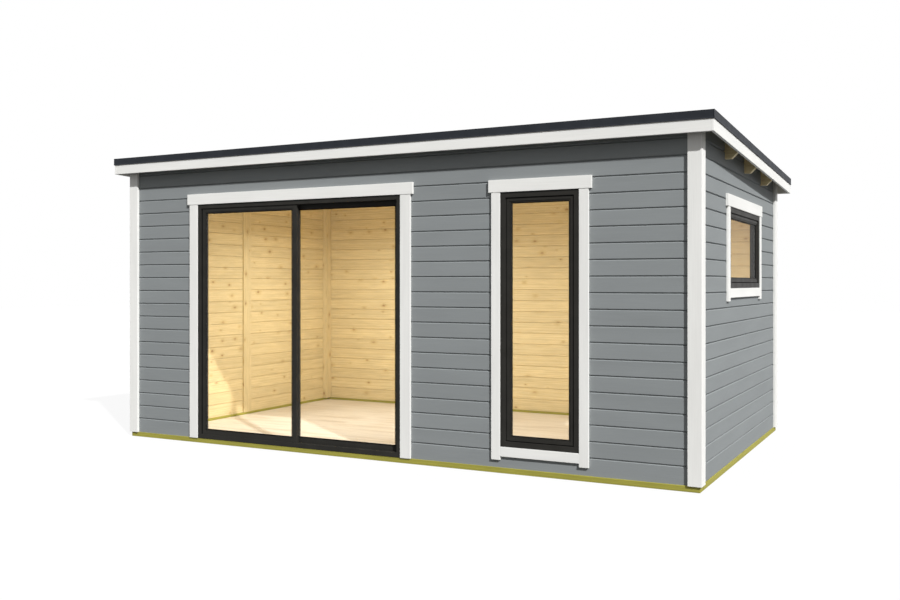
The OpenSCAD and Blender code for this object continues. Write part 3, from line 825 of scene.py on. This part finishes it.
bm = start_mesh()
low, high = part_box("side_fascias")
for x in (low.x, high.x - FASCIA_T):
    board(bm, (x, low.y, fascia_z[0]), (x + FASCIA_T, high.y, fascia_z[1]), Y, TRIM_EASE)
lay_on_slope(bm)
set_in_place("end_fascias", bm, [white_paint], ["side_fascias"])


# Roof covering. Dark felt with fine mineral grit, rolled out along the roof in four courses.
# Each course laps over the one below it, towards the back, where the water runs off.
FELT_COURSES = 4
FELT_T, FELT_LAP_T = 0.0024, 0.0040
FELT_GAP = 0.0001


def felt_finish(name, colour):
    """Mineral felt: grit of unlike grains, and slow clouds of wear."""
    material, tree, shader = start_finish(name)
    place = add_node(tree, "TexCoord", {}).outputs["Object"]
    grit = add_node(tree, "TexVoronoi", {"Vector": place, "Scale": 420.0})
    chance = add_node(tree, "SeparateColor", {0: grit.outputs["Color"]}).outputs[0]
    cloud = add_node(tree, "TexNoise", {"Vector": place, "Scale": 1.7, "Detail": 6.0}).outputs["Fac"]
    shade = scale_colour(tree, colour, fit_range(tree, chance, 0.0, 1.0, 0.55, 1.5))
    shade = scale_colour(tree, shade, vary(tree, cloud, 0.8, 1.2))
    tree.links.new(shade, shader.inputs["Base Color"])
    tree.links.new(fit_range(tree, chance, 0.0, 1.0, 0.75, 0.95), shader.inputs["Roughness"])
    roughen(tree, shader, grit.outputs["Distance"], 0.001)
    return material


roof_felt = felt_finish("roof_felt", (0.052, 0.054, 0.058))

low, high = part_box("roof_covering")
course = (high.y - low.y) / FELT_COURSES
outline = [(low.y, ROOF_BOARD_T + FELT_GAP)]
for i in range(FELT_COURSES):
    outline += [
        (low.y + course * i, ROOF_BOARD_T + FELT_T), (low.y + course * (i + 1), ROOF_BOARD_T + FELT_LAP_T)]
outline.append((high.y, ROOF_BOARD_T + FELT_GAP))
bm = start_mesh()
extrude(bm, outline, lambda x, y, z: (x, y, z), low.x, high.x)
lay_on_slope(bm)
set_in_place("felt_courses", bm, [roof_felt], ["roof_covering"])


# Edge strips. Dark folded metal over the roof's edge: a flange on the felt, an upright leg over the
# fascia's top, and a drip at the foot of the leg. The side strips cover the ends of the others.
STRIP_PROUD, STRIP_H, STRIP_FLANGE, STRIP_T = 0.006, 0.057, 0.046, 0.0035
DRIP_H, DRIP_IN, DRIP_T = 0.009, 0.002, 0.0025
STRIP_GAP = 0.00005

strip_coat = coated_finish("edge_strip_coat", (0.0285, 0.0315, 0.0375), 0.5)

seat = ROOF_BOARD_T + FELT_LAP_T + STRIP_GAP
top = seat + STRIP_T
foot = top - STRIP_H
outside = [
    (STRIP_PROUD, foot), (STRIP_PROUD, foot + DRIP_H / 2), (STRIP_PROUD - DRIP_IN, foot + DRIP_H),
    (STRIP_PROUD - DRIP_IN, top - STRIP_T), (STRIP_PROUD - DRIP_IN / 2, top)]
flange = [(-STRIP_FLANGE, top), (-STRIP_FLANGE, seat), (0, seat)]
inside = [(0, foot + DRIP_H), (STRIP_PROUD - DRIP_T, foot)]

roof_low, roof_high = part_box("roof_covering")
bm = start_mesh()
for edge, out in ((roof_low.y, -1), (roof_high.y, 1)):
    folded = outside + flange + inside
    extrude(bm, folded, lambda x, a, z: (x, edge + out * a, z), roof_low.x, roof_high.x)
lay_on_slope(bm)
set_in_place("front_and_back_edge_strips", bm, [strip_coat], ["eaves_edge_strips"])

bm = start_mesh()
for edge, out in ((roof_low.x, -1), (roof_high.x, 1)):
    upright_leg = outside + [(0, top)] + inside
    extrude(bm, upright_leg, lambda y, a, z: (edge + out * a, y, z),
            roof_low.y - STRIP_PROUD, roof_high.y + STRIP_PROUD)
    extrude(bm, flange + [(0, top)], lambda y, a, z: (edge + out * a, y, z),
            roof_low.y + STRIP_FLANGE, roof_high.y - STRIP_FLANGE)
lay_on_slope(bm)
set_in_place("side_edge_strips_folded", bm, [strip_coat], ["side_edge_strips"])


# Studio. A pale floor that runs out to a white surround, a sun from the front right, a weaker and
# softer one from the back left, and lamps in the room: two under the ceiling, and a wide one
# inside the front wall.
CAMERA_PLACE = (3.9851, -7.8092, 1.3704)
CAMERA_TURN = math.radians(27.696)
FOCAL_PIXELS, PICTURE_WIDTH, HORIZON_SHIFT = 955.94, 900, 16.85
SENSOR_WIDTH = 36
SUN_FROM = Vector((0.6285, -0.4652, 0.6233))
SUN_STRENGTH, SUN_SPREAD = 4.4, math.radians(1.5)
FILL_FROM = Vector((-0.62, 0.64, 0.45))
FILL_STRENGTH, FILL_SPREAD = 1.7, math.radians(30)
SKY_LIGHT = 0.48
CEILING_LIGHT_SIZE, FRONT_LIGHT_SIZE = (1.2, 0.8), (4.2, 1.3)
OVERHEAD, DOWN, TO_BACK = (0, 0, 10), (0, 0, -1), (0, 1, 0)
WHITE = (1, 1, 1, 1)
# The floor's half width, its drop below the base, its grey, the light that it throws back on the
# object, and how strongly it shows the object's shadow
FLOOR_REACH, FLOOR_DROP, FLOOR_GREY = 40, 0.001, 0.8
FLOOR_BOUNCE, FLOOR_SHADOW = 0.085, 0.12

scene = bpy.context.scene
scene.view_settings.view_transform = "Standard"

lens = bpy.data.cameras.new("camera")
lens.sensor_fit = "HORIZONTAL"
lens.sensor_width = SENSOR_WIDTH
lens.lens = SENSOR_WIDTH * FOCAL_PIXELS / PICTURE_WIDTH
lens.shift_y = -HORIZON_SHIFT / PICTURE_WIDTH
camera = bpy.data.objects.new("camera", lens)
camera.location = CAMERA_PLACE
camera.rotation_euler = (math.radians(90), 0, CAMERA_TURN)
scene.collection.objects.link(camera)
scene.camera = camera


def add_lamp(name, kind, energy, location, towards):
    """Lamp that shines along a direction."""
    lamp = bpy.data.lights.new(name, kind)
    lamp.energy = energy
    holder = bpy.data.objects.new(name, lamp)
    holder.location = location
    holder.rotation_euler = Vector(towards).to_track_quat("-Z", "Y").to_euler()
    scene.collection.objects.link(holder)
    return holder


def room_lamp(name, energy, place, towards, size):
    """Soft lamp in the room that shows neither itself nor its reflection."""
    lamp = add_lamp(name, "AREA", energy, place, towards)
    lamp.data.shape = "RECTANGLE"
    lamp.data.size, lamp.data.size_y = size
    lamp.visible_camera = False
    lamp.visible_glossy = False


sun = add_lamp("sun", "SUN", SUN_STRENGTH, OVERHEAD, -SUN_FROM)
sun.data.angle = SUN_SPREAD
fill = add_lamp("fill", "SUN", FILL_STRENGTH, OVERHEAD, -FILL_FROM)
fill.data.angle = FILL_SPREAD
room_lamp("left_ceiling_light", 36.5, (-1.06, 0.1, 1.95), DOWN, CEILING_LIGHT_SIZE)
room_lamp("right_ceiling_light", 26, (1.65, 0, 1.95), DOWN, CEILING_LIGHT_SIZE)
room_lamp("front_light", 26.5, (-0.1, -1.36, 1.15), TO_BACK, FRONT_LIGHT_SIZE)


def seen_directly(tree):
    """1 for rays that the viewer, a gloss or a glass sends, 0 for the light itself."""
    path = add_node(tree, "LightPath", {}).outputs
    share = calculate(tree, "MAXIMUM", path["Is Camera Ray"], path["Is Glossy Ray"])
    return calculate(tree, "MAXIMUM", share, path["Is Transmission Ray"])


world = bpy.data.worlds.new("surround")
world.use_nodes = True
scene.world = world
tree = world.node_tree
tree.nodes.clear()
sky = add_node(tree, "Background", {"Color": WHITE, "Strength": SKY_LIGHT}).outputs[0]
white = add_node(tree, "Background", {"Color": WHITE, "Strength": 1.0}).outputs[0]
both = add_node(tree, "MixShader", {0: seen_directly(tree), 1: sky, 2: white}).outputs[0]
add_node(tree, "OutputWorld", {"Surface": both})

bm = bmesh.new()
bmesh.ops.create_grid(bm, x_segments=8, y_segments=8, size=FLOOR_REACH)
ground = make_object("studio_floor", bm)
ground.location.z = -FLOOR_DROP
pale = bpy.data.materials.new("studio_floor")
pale.use_nodes = True
tree = pale.node_tree
tree.nodes.clear()
shaded = add_node(tree, "BsdfDiffuse", {"Color": (FLOOR_GREY,) * 3 + (1,)}).outputs[0]
lit = add_node(tree, "Emission", {"Color": WHITE, "Strength": 1.0}).outputs[0]
seen = add_node(tree, "MixShader", {0: FLOOR_SHADOW, 1: lit, 2: shaded}).outputs[0]
bounce = add_node(tree, "BsdfDiffuse", {"Color": (FLOOR_BOUNCE,) * 3 + (1,)}).outputs[0]
both = add_node(tree, "MixShader", {0: seen_directly(tree), 1: bounce, 2: seen}).outputs[0]
add_node(tree, "OutputMaterial", {"Surface": both})
ground.data.materials.append(pale)
